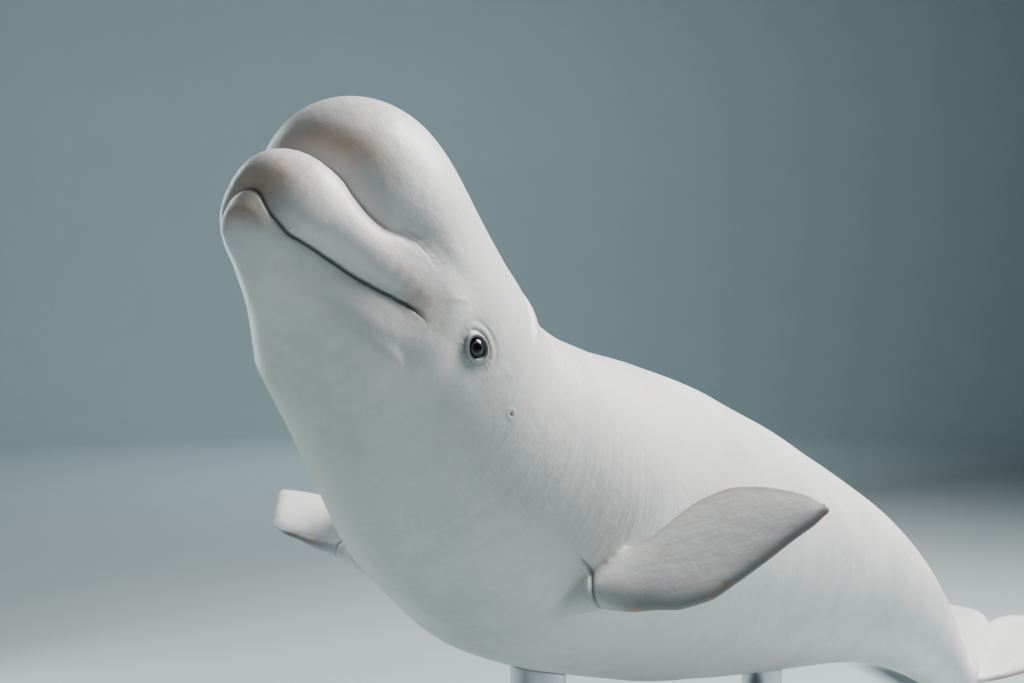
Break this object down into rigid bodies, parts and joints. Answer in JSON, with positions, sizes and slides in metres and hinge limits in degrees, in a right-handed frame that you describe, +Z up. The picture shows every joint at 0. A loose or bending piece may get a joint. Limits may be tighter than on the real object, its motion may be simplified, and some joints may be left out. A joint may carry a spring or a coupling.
{
  "type": "beluga whale model",
  "caption": "Life-size still model of a beluga whale swimming up and to its left, held by two short rods on a flat base.",
  "frame": {"origin": "middle of the underside of the stand's base, on the floor", "axes": "+Z up, -Y the way the whale's head looks, +X the whale's own left side"},
  "size_m": [1.6108, 3.6941, 1.7872],
  "materials": {
    "skin_head": "satin",
    "skin_body": "satin",
    "skin_fin": "satin",
    "eye": "gloss",
    "stand_base": "satin",
    "stand_metal": "satin"
  },
  "bodies": {
    "root": {"melon": "skin_head", "upper_jaw": "skin_head", "lower_jaw": "skin_head", "head": "skin_head", "neck": "skin_body", "chest": "skin_body", "belly": "skin_body", "loin": "skin_body", "tail_stock": "skin_body", "fluke_left": "skin_fin", "fluke_right": "skin_fin", "flipper_left": "skin_fin", "flipper_right": "skin_fin", "eye_left": "eye", "eye_right": "eye", "stand_base": "stand_base", "stand_rod_front": "stand_metal", "stand_collar_front": "stand_metal", "stand_cup_front": "stand_metal", "stand_rod_rear": "stand_metal", "stand_collar_rear": "stand_metal", "stand_cup_rear": "stand_metal"}
  },
  "joints": []
}
